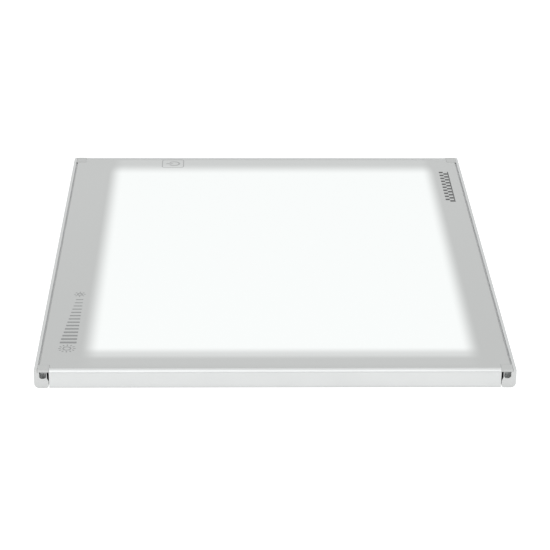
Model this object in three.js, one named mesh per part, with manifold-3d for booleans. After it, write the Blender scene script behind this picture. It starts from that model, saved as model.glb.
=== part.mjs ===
// A slim edge-lit LED light box for tracing and drafting, lying flat on four rubber feet.
//
// Two aluminium side rails run the full depth, with a front and a rear bar between them. The frame
// holds an opal top sheet flush with its lips. Under the sheet lie a border mask, a diffuser and a
// light guide lit from its left and right edges, all carried on a support board, and a screwed cover
// closes the underside.
//
// Millimetres. X runs to the right, Y from front to rear and Z up. The origin is the centre of the
// footprint on the surface that the feet rest on. Heights named below are counted from the underside
// of the frame, and the whole assembly is then lifted by the height of the feet.

import * as THREE from "three";
import { mergeVertices } from "three/addons/utils/BufferGeometryUtils.js";
import Module from "manifold-3d";

const wasm = await Module();
wasm.setup();

// ---- Driving dimensions ----

const padWidth = 282;
const padDepth = 350;
const frameHeight = 11.6;
const footStandOff = 1.1;

// The lit window is 9 by 12 inches, closer to the right and rear edges than to the left and front.
const litMarginLeft = 30.7;
const litMarginRight = 22.6;
const litMarginFront = 24;
const litMarginRear = 21.3;
const litCornerRadius = 9;

// Frame profiles, measured inward from the outer face.
const railDepth = 7.5;
const railLip = 1.9;
const railTopRadius = 0.5;
const railFootRadius = 3;
const barDepth = 8;
const barFace = 2.2;
const barWall = 1.2;
const barFootRadius = 0.8;
const frontLip = { width: 2.6, radius: 2.2 };
const rearLip = { width: 3.4, radius: 0.6 };
const cornerGap = 1.3;
const flangeReach = 15;
const flangeBottom = 1.7;
const flangeTop = 4;

// The inner foot of a side rail reaches under the sheet's edge and nearly closes the gap beside a bar.
const railToe = 1;
const toeHeight = 4.4;
const toeSlope = 2;
const toeRadius = 1.6;

// A pocket in each end of a side rail, round-bottomed and open at the top to the cap.
const pocketInset = 3.1;
const pocketWidth = 4.1;
const pocketHeight = 4.1;
const pocketDepth = 6;
const pocketRadius = 1.6;

// A groove in the rail lies between its lip and the top sheet. It stops short of each end, where the
// sheet's corners are cut away for small caps.
const sheetStep = 1.5;
const grooveWidth = 1.1;
const grooveDepth = 1.1;
const sheetJoint = 0.1;
const capLengthFront = 7;
const capLengthRear = 9.4;
const capSeamFront = 0.1;
const capSeamRear = 0.4;
const capSeamSide = 0.1;

// Layers from the underside up.
const bond = 0.05;
const coverBottom = 0.15;
const coverThickness = 1.45;
const boardThickness = 1.5;
const reflectorThickness = 0.25;
const guideThickness = 3;
const diffuserThickness = 0.4;
const maskThickness = 0.3;

// Light engine.
const guideOverlap = 1;
const ledCount = 24;
const ledPitch = 12.5;
const ledDepth = 0.8;
const stripThickness = 1;
const stripHeight = 3.1;
const tapeThickness = 0.2;
const spreaderWall = 1.2;
const spreaderFoot = 3.8;

// Fasteners.
const screwShank = 1.25;
const screwHole = 1.3;
const screwClearance = 1.45;
const screwHead = 2.3;
const screwSides = 12;

// Power socket in the rear bar, for a 5.5 mm plug.
const socketX = -100;
const socketWidth = 9;
const socketLength = 11;
const socketBore = 3;
const socketPin = 1;
const socketTail = 0.8;

// How far a cutting shape runs past the faces it cuts through.
const cutPast = 1;

// Free room round parts that are dropped into the frame, and round the socket.
const dropInRoom = 0.4;
const socketRoom = { front: 0.3, side: 0.5 };

// Worked out from the above.
const halfWidth = padWidth / 2;
const halfDepth = padDepth / 2;
const ledge = frameHeight - sheetStep;
const barLength = padWidth - 2 * (railDepth + cornerGap);
const innerX = halfWidth - railDepth - railToe - dropInRoom;
const innerY = halfDepth - barDepth - dropInRoom;
const litWidth = padWidth - litMarginLeft - litMarginRight;
const litDepth = padDepth - litMarginFront - litMarginRear;
const litCentreX = (litMarginLeft - litMarginRight) / 2;
const litCentreY = (litMarginFront - litMarginRear) / 2;
const coverTop = coverBottom + coverThickness;
const boardBottom = flangeTop + bond;
const boardTop = boardBottom + boardThickness;
const reflectorBottom = boardTop + bond;
const guideBottom = reflectorBottom + reflectorThickness + 2 * bond;
const guideTop = guideBottom + guideThickness;
const diffuserBottom = guideTop + 2 * bond;
const sheetBottom = ledge + bond;
const sheetThickness = frameHeight - sheetBottom;
const maskBottom = ledge - maskThickness;
const guideHalfWidth = litWidth / 2 + guideOverlap;
const guideHalfDepth = litDepth / 2 + 2 * guideOverlap;
const ends = { front: -1, rear: 1 };
const sides = { left: -1, right: 1 };

// ---- Finishes ----

const finish = (color, roughness, metalness) => ({ color, roughness, metalness });
const anodised = finish(0xdadddc, 0.45, 0.85);
const opal = finish(0xdfe2e1, 0.5, 0);
const capGrey = finish(0xcfd2d1, 0.5, 0.1);
const maskGrey = finish(0xc4c6c5, 0.7, 0);
const whiteFilm = finish(0xf7f8f8, 0.6, 0);
const clearAcrylic = finish(0xe9f2f2, 0.1, 0);
const boardWhite = finish(0xe6e6e3, 0.7, 0);
const greyTape = finish(0x9aa0a2, 0.8, 0);
const ledBoard = finish(0xf2f2ea, 0.5, 0);
const circuitGreen = finish(0x1f5c39, 0.5, 0);
const copper = finish(0xb87440, 0.4, 0.9);
const blackMoulding = finish(0x1b1c1d, 0.5, 0);
const nickel = finish(0xc9c7c0, 0.3, 1);
const zincSteel = finish(0xb4b8bb, 0.35, 1);
const coverGrey = finish(0xd2d4d3, 0.55, 0);
const rubber = finish(0x2a2b2c, 0.9, 0);
const redWire = finish(0xb3241f, 0.5, 0);
const blackWire = finish(0x18181a, 0.5, 0);
const whiteWire = finish(0xe8e8e4, 0.5, 0);

// ---- Geometry helpers ----

// A closed three.js geometry as a solid that can be joined and cut.
function solidFrom(geometry) {
  const bare = geometry.clone();
  bare.deleteAttribute("normal");
  bare.deleteAttribute("uv");
  const merged = mergeVertices(bare, 1e-4);
  const mesh = new wasm.Mesh({
    numProp: 3,
    vertProperties: merged.attributes.position.array,
    triVerts: new Uint32Array(merged.index.array),
  });
  return new wasm.Manifold(mesh);
}

function geometryFrom(solid) {
  const mesh = solid.getMesh();
  const geometry = new THREE.BufferGeometry();
  geometry.setAttribute("position", new THREE.BufferAttribute(mesh.vertProperties, 3));
  geometry.setIndex(new THREE.BufferAttribute(mesh.triVerts, 1));
  geometry.computeVertexNormals();
  return geometry;
}

function cut(geometry, cutters) {
  const solid = cutters.reduce((rest, c) => rest.subtract(solidFrom(c)), solidFrom(geometry));
  return geometryFrom(solid);
}

function join(geometries) {
  const [first, ...others] = geometries.map(solidFrom);
  return geometryFrom(others.reduce((whole, s) => whole.add(s), first));
}

// A box from its limits along X, Y and Z.
function block([x0, x1], [y0, y1], [z0, z1]) {
  const geometry = new THREE.BoxGeometry(x1 - x0, y1 - y0, z1 - z0);
  return geometry.translate((x0 + x1) / 2, (y0 + y1) / 2, (z0 + z1) / 2);
}

// An upright round post.
function post(x, y, [z0, z1], radius) {
  const geometry = new THREE.CylinderGeometry(radius, radius, z1 - z0, screwSides);
  return geometry.rotateX(Math.PI / 2).translate(x, y, (z0 + z1) / 2);
}

// A round post lying along Y.
function lyingPost(x, [y0, y1], z, radius) {
  const geometry = new THREE.CylinderGeometry(radius, radius, y1 - y0, 24);
  return geometry.translate(x, (y0 + y1) / 2, z);
}

// A flat plate from an outline drawn in X and Y.
function plate(outline, bottom, thickness) {
  const geometry = new THREE.ExtrudeGeometry(outline, {
    depth: thickness,
    bevelEnabled: false,
    curveSegments: 6,
  });
  return geometry.translate(0, 0, bottom);
}

function rectangle(halfX, halfY) {
  return new THREE.Shape([
    new THREE.Vector2(-halfX, -halfY),
    new THREE.Vector2(halfX, -halfY),
    new THREE.Vector2(halfX, halfY),
    new THREE.Vector2(-halfX, halfY),
  ]);
}

// A profile drawn inward from the outer face and up, swept along Y for a rail on the left edge.
function railSweep(outline, length) {
  const geometry = new THREE.ExtrudeGeometry(outline, {
    depth: length,
    bevelEnabled: false,
    curveSegments: 8,
  });
  return geometry.rotateX(Math.PI / 2).translate(-halfWidth, length / 2, 0);
}

// The same for a bar on the front edge, swept along X.
function barSweep(outline, length) {
  const geometry = new THREE.ExtrudeGeometry(outline, {
    depth: length,
    bevelEnabled: false,
    curveSegments: 5,
  });
  const alongX = new THREE.Matrix4().makeBasis(
    new THREE.Vector3(0, 1, 0),
    new THREE.Vector3(0, 0, 1),
    new THREE.Vector3(1, 0, 0),
  );
  return geometry.applyMatrix4(alongX).translate(-length / 2, -halfDepth, 0);
}

function piece(name, geometry, look) {
  const mesh = new THREE.Mesh(geometry, new THREE.MeshStandardMaterial(look));
  mesh.name = name;
  return mesh;
}

// ---- Frame ----

const coverScrewAlongRail = 95;
const coverScrewAlongBar = 88;
const bracketScrewReach = 26;
const flangeMiddle = (railDepth + railToe + flangeReach) / 2;
const grooveFloor = frameHeight - grooveDepth;

// Wall with a rounded foot, a lip, a groove beside it and a ledge for the sheet.
function railOutline() {
  const reach = railDepth + railToe;
  const outline = new THREE.Shape();
  outline.moveTo(railFootRadius, 0);
  outline.absarc(reach - toeRadius, toeRadius, toeRadius, 1.5 * Math.PI, 2 * Math.PI);
  outline.lineTo(reach, toeHeight);
  outline.lineTo(railDepth, toeHeight + toeSlope);
  outline.lineTo(railDepth, ledge);
  outline.lineTo(railLip + grooveWidth, ledge);
  outline.lineTo(railLip + grooveWidth, grooveFloor);
  outline.lineTo(railLip, grooveFloor);
  outline.lineTo(railLip, frameHeight);
  outline.absarc(railTopRadius, frameHeight - railTopRadius, railTopRadius, Math.PI / 2, Math.PI);
  outline.absarc(railFootRadius, railFootRadius, railFootRadius, Math.PI, 1.5 * Math.PI);
  return outline;
}

// What a rounded upright corner takes off the outer edge of a rail's end.
function cornerRound(end, radius) {
  const outer = [-halfWidth - cutPast, -halfWidth + radius];
  const inner = halfDepth - radius;
  const past = halfDepth + cutPast;
  const along = end > 0 ? [inner, past] : [-past, -inner];
  const height = [-cutPast, frameHeight + cutPast];
  const taller = [-2 * cutPast, frameHeight + 2 * cutPast];
  const round = post(-halfWidth + radius, end * inner, taller, radius);
  return cut(block(outer, along, height), [round]);
}

// What one end of a rail loses: the pocket, and the groove's floor where the cap lies.
function endCuts(end, capRoom) {
  const past = halfDepth + cutPast;
  const along = (depth) => (end > 0 ? [halfDepth - depth, past] : [-past, -halfDepth + depth]);
  const left = -halfWidth + pocketInset;
  const bottom = ledge - pocketHeight;
  const across = [left, left + pocketWidth];
  const rounds = [left + pocketRadius, left + pocketWidth - pocketRadius].map((x) =>
    lyingPost(x, along(pocketDepth), bottom + pocketRadius, pocketRadius),
  );
  return [
    block(across, along(pocketDepth), [bottom + pocketRadius, ledge + cutPast]),
    block([across[0] + pocketRadius, across[1] - pocketRadius], along(pocketDepth), [bottom, ledge]),
    ...rounds,
    block(
      [-halfWidth + railLip, -halfWidth + railDepth + cutPast],
      along(capRoom),
      [ledge, frameHeight + cutPast],
    ),
  ];
}

// A rail for the left edge. The right rail is the same piece turned round.
function sideRail(rearEnd, cornerRadius) {
  const flangeStart = halfDepth - flangeReach - 0.3;
  const flange = block(
    [-halfWidth + railDepth - 0.5, -halfWidth + flangeReach],
    [-flangeStart, flangeStart],
    [flangeBottom, flangeTop],
  );
  const screwX = -halfWidth + flangeMiddle;
  const screwYs = [coverScrewAlongRail, halfDepth - bracketScrewReach].flatMap((y) => [-y, y]);
  const through = [flangeBottom - cutPast, flangeTop + cutPast];
  return cut(join([railSweep(railOutline(), padDepth), flange]), [
    ...screwYs.map((y) => post(screwX, y, through, screwHole)),
    cornerRound(rearEnd, cornerRadius),
    ...endCuts(-rearEnd, capLengthFront + capSeamFront),
    ...endCuts(rearEnd, capLengthRear + capSeamRear),
  ]);
}

// A box section with a raised outer lip, rounded at the top and foot, and a flange behind.
function barOutline(lip) {
  const outline = new THREE.Shape();
  outline.moveTo(barFootRadius, 0);
  outline.lineTo(barDepth, 0);
  outline.lineTo(barDepth, flangeBottom);
  outline.lineTo(flangeReach, flangeBottom);
  outline.lineTo(flangeReach, flangeTop);
  outline.lineTo(barDepth, flangeTop);
  outline.lineTo(barDepth, ledge);
  outline.lineTo(lip.width, ledge);
  outline.lineTo(lip.width, frameHeight);
  outline.absarc(lip.radius, frameHeight - lip.radius, lip.radius, Math.PI / 2, Math.PI);
  outline.absarc(barFootRadius, barFootRadius, barFootRadius, Math.PI, 1.5 * Math.PI);
  const hollow = new THREE.Path();
  hollow.moveTo(barFace, barWall);
  hollow.lineTo(barFace, ledge - barWall);
  hollow.lineTo(barDepth - barWall, ledge - barWall);
  hollow.lineTo(barDepth - barWall, barWall);
  outline.holes.push(hollow);
  return outline;
}

function endBar(lip, extraCuts) {
  const screwY = -halfDepth + flangeMiddle;
  const screwXs = [coverScrewAlongBar, halfWidth - bracketScrewReach].flatMap((x) => [-x, x]);
  const through = [flangeBottom - cutPast, flangeTop + cutPast];
  return cut(barSweep(barOutline(lip), barLength), [
    ...screwXs.map((x) => post(x, screwY, through, screwHole)),
    ...extraCuts,
  ]);
}

// ---- Power socket ----

const socketFront = halfDepth - barFace - socketRoom.front;
const socketHeight = (coverTop + maskBottom) / 2;
const socketHalfHeight = 3.8;

// The rear bar is cut before it is turned round, so these sit on the front edge at minus socketX.
function socketCuts() {
  const pocket = block(
    [-socketX - socketWidth / 2 - socketRoom.side, -socketX + socketWidth / 2 + socketRoom.side],
    [-socketFront - socketRoom.front, -halfDepth + flangeReach + cutPast],
    [coverTop + 0.05, ledge - 0.2],
  );
  const mouth = lyingPost(-socketX, [-halfDepth - 1, -socketFront], socketHeight, socketBore + 0.1);
  return [pocket, mouth];
}

function socketHousing() {
  const back = socketFront - socketLength;
  const body = block(
    [socketX - socketWidth / 2, socketX + socketWidth / 2],
    [back, socketFront],
    [socketHeight - socketHalfHeight, socketHeight + socketHalfHeight],
  );
  return cut(body, [
    lyingPost(socketX, [back + 2.5, socketFront + 1], socketHeight, socketBore),
    lyingPost(socketX, [back - 1, back + 3], socketHeight, socketPin + bond),
  ]);
}

function socketContact() {
  const back = socketFront - socketLength;
  return lyingPost(socketX, [back - socketTail, socketFront - 1], socketHeight, socketPin);
}

function buildFrame() {
  const frame = new THREE.Group();
  const leftRail = piece("left_rail", sideRail(1, 2.5), anodised);
  const rightRail = piece("right_rail", sideRail(-1, 0.8), anodised);
  rightRail.rotation.z = Math.PI;
  const frontBar = piece("front_bar", endBar(frontLip, []), anodised);
  const rearBar = piece("rear_bar", endBar(rearLip, socketCuts()), anodised);
  rearBar.rotation.z = Math.PI;
  frame.add(leftRail, rightRail, frontBar, rearBar);
  return frame;
}

// ---- Corner brackets and their screws ----

const bracketLength = 34;
const bracketThickness = 1.5;
const bracketInset = 8.6;
const bracketEdge = flangeReach - 0.2;

// A flat L lying on the flanges of the front left corner, screwed down through each leg.
function cornerBracket() {
  const at = (inX, inY) => new THREE.Vector2(-halfWidth + inX, -halfDepth + inY);
  const outline = new THREE.Shape([
    at(bracketInset, bracketInset),
    at(bracketLength, bracketInset),
    at(bracketLength, bracketEdge),
    at(bracketEdge, bracketEdge),
    at(bracketEdge, bracketLength),
    at(bracketInset, bracketLength),
  ]);
  const through = [flangeTop - 1, flangeTop + 3];
  return cut(plate(outline, flangeTop + bond, bracketThickness), [
    post(-halfWidth + flangeMiddle, -halfDepth + bracketScrewReach, through, screwClearance),
    post(-halfWidth + bracketScrewReach, -halfDepth + flangeMiddle, through, screwClearance),
  ]);
}

// The two crossed slots of a driver recess, between two heights.
function crossRecess(heights) {
  const arm = 1.3;
  const width = 0.25;
  return [block([-arm, arm], [-width, width], heights), block([-width, width], [-arm, arm], heights)];
}

// A pan-head screw standing on its seat at height zero, with the shank pointing down.
function panScrew(length) {
  const headHeight = 1.5;
  const profile = [
    new THREE.Vector2(0, -length),
    new THREE.Vector2(screwShank * 0.7, -length),
    new THREE.Vector2(screwShank, -length + 0.5),
    new THREE.Vector2(screwShank, 0),
    new THREE.Vector2(screwHead, 0),
    new THREE.Vector2(screwHead, headHeight * 0.6),
    new THREE.Vector2(screwHead * 0.7, headHeight),
    new THREE.Vector2(0, headHeight),
  ];
  const body = new THREE.LatheGeometry(profile, screwSides).rotateX(Math.PI / 2);
  return cut(body, crossRecess([headHeight - 0.8, headHeight + 1]));
}

// A corner's own copy of a shape drawn for the front left. A single mirroring turns the faces inside
// out, so the winding is put back.
function mirrored(geometry, sideX, sideY) {
  const copy = geometry.clone().scale(-sideX, -sideY, 1);
  if (sideX * sideY > 0) return copy;
  const index = copy.index.array;
  for (let i = 0; i < index.length; i += 3) {
    [index[i + 1], index[i + 2]] = [index[i + 2], index[i + 1]];
  }
  return copy;
}

function buildCorners() {
  const corners = new THREE.Group();
  const seat = flangeTop + bond + bracketThickness + bond;
  for (const [end, sideY] of Object.entries(ends)) {
    for (const [side, sideX] of Object.entries(sides)) {
      const where = `${end}_${side}`;
      corners.add(piece(`corner_bracket_${where}`, mirrored(cornerBracket(), sideX, sideY), zincSteel));
      const onRail = piece(`corner_screw_rail_${where}`, panScrew(3.6), zincSteel);
      onRail.position.set(
        sideX * (halfWidth - flangeMiddle),
        sideY * (halfDepth - bracketScrewReach),
        seat,
      );
      const onBar = piece(`corner_screw_bar_${where}`, panScrew(3.6), zincSteel);
      onBar.position.set(
        sideX * (halfWidth - bracketScrewReach),
        sideY * (halfDepth - flangeMiddle),
        seat,
      );
      corners.add(onRail, onBar);
    }
  }
  return corners;
}

// ---- Top sheet, corner caps and mask ----

// The sheet fills the frame between the grooves, less a rectangle at each corner for the cap.
function topSheet() {
  const edgeX = halfWidth - railLip - grooveWidth - sheetJoint;
  const edgeY = {
    front: halfDepth - frontLip.width - sheetJoint,
    rear: halfDepth - rearLip.width - sheetJoint,
  };
  const capEdge = halfWidth - railDepth - cornerGap;
  const notchY = {
    front: halfDepth - capLengthFront - capSeamFront,
    rear: halfDepth - capLengthRear - capSeamRear,
  };
  const outline = new THREE.Shape([
    new THREE.Vector2(-capEdge, -edgeY.front),
    new THREE.Vector2(capEdge, -edgeY.front),
    new THREE.Vector2(capEdge, -notchY.front),
    new THREE.Vector2(edgeX, -notchY.front),
    new THREE.Vector2(edgeX, notchY.rear),
    new THREE.Vector2(capEdge, notchY.rear),
    new THREE.Vector2(capEdge, edgeY.rear),
    new THREE.Vector2(-capEdge, edgeY.rear),
    new THREE.Vector2(-capEdge, notchY.rear),
    new THREE.Vector2(-edgeX, notchY.rear),
    new THREE.Vector2(-edgeX, -notchY.front),
    new THREE.Vector2(-capEdge, -notchY.front),
  ]);
  return plate(outline, sheetBottom, sheetThickness);
}

// A small filler plate bonded to the ledge beside the lip, at the end of a rail.
function cornerCap(sideX, sideY) {
  const length = sideY < 0 ? capLengthFront : capLengthRear;
  const width = railDepth + cornerGap - railLip - capSeamSide - 0.1;
  const cap = new THREE.BoxGeometry(width, length, sheetThickness);
  const x = halfWidth - railLip - 0.1 - width / 2;
  const y = halfDepth - length / 2;
  return cap.translate(sideX * x, sideY * y, (sheetBottom + frameHeight) / 2);
}

function borderMask() {
  const outline = rectangle(innerX, innerY);
  const window = new THREE.Path();
  const left = litCentreX - litWidth / 2;
  const right = litCentreX + litWidth / 2;
  const front = litCentreY - litDepth / 2;
  const rear = litCentreY + litDepth / 2;
  const r = litCornerRadius;
  window.absarc(right - r, rear - r, r, 0, Math.PI / 2);
  window.absarc(left + r, rear - r, r, Math.PI / 2, Math.PI);
  window.absarc(left + r, front + r, r, Math.PI, 1.5 * Math.PI);
  window.absarc(right - r, front + r, r, 1.5 * Math.PI, 2 * Math.PI);
  outline.holes.push(window);
  return plate(outline, maskBottom, maskThickness);
}

function buildTop() {
  const top = new THREE.Group();
  top.add(piece("top_sheet", topSheet(), opal));
  top.add(piece("border_mask", borderMask(), maskGrey));
  for (const [end, sideY] of Object.entries(ends)) {
    for (const [side, sideX] of Object.entries(sides)) {
      top.add(piece(`corner_cap_${end}_${side}`, cornerCap(sideX, sideY), capGrey));
    }
  }
  return top;
}

// ---- Light engine, built about its own centre and lit from both long edges ----

// A narrow circuit strip standing on edge with its LEDs facing the light guide. Drawn for the right
// edge, facing -X, with the LED faces at zero.
function ledStrip() {
  const half = (ledCount * ledPitch) / 2;
  const bottom = guideBottom;
  const strip = block([ledDepth, ledDepth + stripThickness], [-half, half], [bottom, bottom + stripHeight]);
  const leds = Array.from({ length: ledCount }, (_, i) => {
    const middle = (i + 0.5) * ledPitch - half;
    return block([0, ledDepth + 0.1], [middle - 1.5, middle + 1.5], [bottom + 0.85, bottom + 2.25]);
  });
  return join([strip, ...leds]);
}

// An aluminium angle that stands the strip up and spreads its heat, drawn for the right edge.
function heatSpreader(wallStart) {
  const half = (ledCount * ledPitch) / 2;
  const foot = new THREE.Shape([
    new THREE.Vector2(wallStart, reflectorBottom),
    new THREE.Vector2(wallStart + spreaderFoot, reflectorBottom),
    new THREE.Vector2(wallStart + spreaderFoot, reflectorBottom + 1),
    new THREE.Vector2(wallStart + spreaderWall, reflectorBottom + 1),
    new THREE.Vector2(wallStart + spreaderWall, diffuserBottom + 0.2),
    new THREE.Vector2(wallStart, diffuserBottom + 0.2),
  ]);
  const geometry = new THREE.ExtrudeGeometry(foot, { depth: 2 * half, bevelEnabled: false });
  return geometry.rotateX(Math.PI / 2).translate(0, half, 0);
}

function buildLightEngine() {
  const engine = new THREE.Group();
  engine.position.set(litCentreX, litCentreY, 0);
  const area = rectangle(guideHalfWidth, guideHalfDepth);
  engine.add(piece("reflector_sheet", plate(area, reflectorBottom, reflectorThickness), whiteFilm));
  engine.add(piece("light_guide_plate", plate(area, guideBottom, guideThickness), clearAcrylic));
  engine.add(piece("diffuser_film", plate(area, diffuserBottom, diffuserThickness), whiteFilm));

  const half = (ledCount * ledPitch) / 2;
  const stripBack = ledDepth + stripThickness;
  const tapeStart = stripBack + bond;
  const wallStart = tapeStart + tapeThickness + bond;
  const tapeHeights = [guideBottom, guideBottom + stripHeight];
  for (const [side, sideX] of Object.entries(sides)) {
    const edge = new THREE.Group();
    edge.position.x = sideX * (guideHalfWidth + 0.25);
    edge.rotation.z = sideX > 0 ? 0 : Math.PI;
    edge.add(piece(`led_strip_${side}`, ledStrip(), ledBoard));
    const tape = block([tapeStart, tapeStart + tapeThickness], [-half, half], tapeHeights);
    edge.add(piece(`thermal_tape_${side}`, tape, greyTape));
    edge.add(piece(`heat_spreader_${side}`, heatSpreader(wallStart), anodised));
    engine.add(edge);
  }
  return engine;
}

// ---- Support board and electronics ----

// The board rests on the flanges all round. Its corners step back round the brackets' legs, and
// the rear edge is notched for the power socket.
function supportBoard() {
  const step = flangeReach + 0.1;
  const reach = bracketLength + 0.5;
  const nearX = halfWidth - step;
  const nearY = halfDepth - step;
  const farX = halfWidth - reach;
  const farY = halfDepth - reach;
  const quarter = [
    [innerX, farY],
    [nearX, farY],
    [nearX, nearY],
    [farX, nearY],
    [farX, innerY],
  ];
  const corner = (sideX, sideY) => quarter.map(([x, y]) => new THREE.Vector2(sideX * x, sideY * y));
  const outline = new THREE.Shape([
    ...corner(1, 1),
    ...corner(-1, 1).reverse(),
    ...corner(-1, -1),
    ...corner(1, -1).reverse(),
  ]);
  const notch = block(
    [socketX - socketWidth / 2 - socketRoom.side, socketX + socketWidth / 2 + socketRoom.side],
    [socketFront - socketLength - socketTail - socketRoom.side, halfDepth],
    [boardBottom - cutPast, boardTop + cutPast],
  );
  return cut(plate(outline, boardBottom, boardThickness), [notch]);
}

const circuitBottom = boardTop + 0.2;
const circuitThickness = 1.2;
const circuitTop = circuitBottom + circuitThickness;
const circuitX = [-halfWidth + 9.2, -halfWidth + 22.8];
const circuitY = [halfDepth - 127, halfDepth - 37];
const plugHeight = 8.1;

// The dimmer board in the left border: driver chip, inductor, capacitors and a row connector.
function controlBoard() {
  const [left] = circuitX;
  const [front, rear] = circuitY;
  const part = (inX, backY, width, length, height) =>
    block(
      [left + inX, left + inX + width],
      [rear - backY - length, rear - backY],
      [circuitTop - 0.1, circuitTop + height],
    );
  const resistors = Array.from({ length: 6 }, (_, i) => part(1.2, 46 + 3.2 * i, 1.6, 0.9, 0.5));
  return join([
    block(circuitX, [front, rear], [circuitBottom, circuitTop]),
    part(3.8, 0, 9.6, 5.5, 2.35),
    part(4, 12, 6, 6, 2.2),
    part(4.5, 23, 5, 5, 1),
    part(1.5, 33, 3.2, 2.5, 1.4),
    part(7.5, 33, 3.2, 2.5, 1.4),
    part(6, 48, 5, 4, 1),
    part(5, 60, 3, 1.6, 0.8),
    ...resistors,
  ]);
}

const sensorX = [-75.5, -61.5];
const sensorY = [halfDepth - 17.5, halfDepth - 8.8];
const sensorZ = [maskBottom - 0.8, maskBottom - bond];

const wireRadius = 0.5;

// A path along straight runs with soft bends between them.
function softPath(points, bend) {
  const path = new THREE.CurvePath();
  let from = points[0];
  for (let i = 1; i < points.length - 1; i += 1) {
    const corner = points[i];
    const back = new THREE.Vector3().subVectors(points[i - 1], corner);
    const ahead = new THREE.Vector3().subVectors(points[i + 1], corner);
    const reach = Math.min(bend, back.length() / 2, ahead.length() / 2);
    const start = corner.clone().addScaledVector(back.normalize(), reach);
    const end = corner.clone().addScaledVector(ahead.normalize(), reach);
    path.add(new THREE.LineCurve3(from, start));
    path.add(new THREE.QuadraticBezierCurve3(start, corner, end));
    from = end;
  }
  path.add(new THREE.LineCurve3(from, points[points.length - 1]));
  return path;
}

function wire(points, steps) {
  const section = new THREE.Shape();
  section.absarc(0, 0, wireRadius, 0, 2 * Math.PI);
  return new THREE.ExtrudeGeometry(section, {
    steps,
    curveSegments: 3,
    bevelEnabled: false,
    extrudePath: softPath(
      points.map((p) => new THREE.Vector3(...p)),
      2.6,
    ),
  });
}

// Each wire leaves its part, runs to the left along the rear border at its own distance from the
// edge and height, then turns forward down the left border to its place in the board's connector.
function harnessWire(start, exit, run, dropX, steps) {
  const [runY, runZ] = run;
  const end = circuitY[1] + 0.4;
  return wire(
    [start, [exit, runY, runZ], [dropX, runY, runZ], [dropX, end + 5, plugHeight], [dropX, end, plugHeight]],
    steps,
  );
}

function buildElectronics() {
  const electronics = new THREE.Group();
  const stripEnd = litCentreY + (ledCount * ledPitch) / 2 + 0.5;
  const stripMiddle = guideHalfWidth + 0.25 + ledDepth + stripThickness / 2;
  const stripLeft = litCentreX - stripMiddle;
  const stripRight = litCentreX + stripMiddle;
  const firstDrop = circuitX[1] - 0.8;
  const drop = (place) => firstDrop - 1.3 * place;
  const add = (name, geometry, look) => electronics.add(piece(name, geometry, look));

  add("support_board", supportBoard(), boardWhite);
  add("control_board", controlBoard(), circuitGreen);
  add("touch_sensor", block(sensorX, sensorY, sensorZ), copper);
  add("power_socket", socketHousing(), blackMoulding);
  add("socket_pin", socketContact(), nickel);

  const leftRed = [stripLeft, stripEnd, 8.3];
  const leftBlack = [stripLeft, stripEnd, 6.7];
  add("led_wire_left_red", harnessWire(leftRed, stripLeft, [154.6, 8.3], drop(0), 24), redWire);
  add("led_wire_left_black", harnessWire(leftBlack, stripLeft, [154.6, 6.7], drop(1), 24), blackWire);
  const sensed = [sensorX[0] - 0.8, sensorY[0] + 3, 9];
  add("touch_wire", harnessWire(sensed, sensorX[0] - 6, [156.6, 7.7], drop(2), 30), whiteWire);
  const rightRed = [stripRight, stripEnd, 6.7];
  const rightBlack = [stripRight + 0.3, stripEnd, 8.3];
  add("led_wire_right_red", harnessWire(rightRed, stripRight, [157.2, 6.2], drop(3), 44), redWire);
  add("led_wire_right_black", harnessWire(rightBlack, stripRight + 0.3, [158.6, 6.2], drop(4), 44), blackWire);
  const socketBack = socketFront - socketLength;
  const powerBlack = [socketX - socketWidth / 2 - 0.9, socketBack + 3, 8.7];
  add("power_wire_black", harnessWire(powerBlack, socketX - 8, [160.3, 8.7], drop(5), 26), blackWire);
  const powerRed = [socketX - 1.4, socketBack - 1.7, 7.3];
  add("power_wire_red", harnessWire(powerRed, socketX - 3.5, [160.3, 7.3], drop(6), 26), redWire);
  return electronics;
}

// ---- Back cover, its screws and the feet ----

const footRadius = 6;
const footX = 119;
const footY = 152;
const countersink = 2.35;

const coverScrewPlaces = [
  ...[-1, 1].flatMap((x) => [-1, 1].map((y) => [x * (halfWidth - flangeMiddle), y * coverScrewAlongRail])),
  ...[-1, 1].flatMap((y) => [-1, 1].map((x) => [x * coverScrewAlongBar, y * (halfDepth - flangeMiddle)])),
];

// A countersunk screw driven upward, its flat head level with the cover's outer face at zero.
function flatScrew(length) {
  const profile = [
    new THREE.Vector2(0, 0),
    new THREE.Vector2(countersink - 0.1, 0),
    new THREE.Vector2(screwShank, 1.1),
    new THREE.Vector2(screwShank, length - 0.5),
    new THREE.Vector2(screwShank * 0.7, length),
    new THREE.Vector2(0, length),
  ];
  const body = new THREE.LatheGeometry(profile, screwSides).rotateX(Math.PI / 2);
  return cut(body, crossRecess([-1, 0.8]));
}

function coverHole(x, y) {
  const profile = [
    new THREE.Vector2(0, -0.5),
    new THREE.Vector2(countersink + 0.5, -0.5),
    new THREE.Vector2(countersink, 0),
    new THREE.Vector2(screwClearance, 1.05),
    new THREE.Vector2(screwClearance, 3),
    new THREE.Vector2(0, 3),
  ];
  const hole = new THREE.LatheGeometry(profile, screwSides).rotateX(Math.PI / 2);
  return hole.translate(x, y, coverBottom);
}

function backCover() {
  const flat = plate(rectangle(innerX + 0.1, innerY + 0.1), coverBottom, coverThickness);
  return cut(
    flat,
    coverScrewPlaces.map(([x, y]) => coverHole(x, y)),
  );
}

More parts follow.
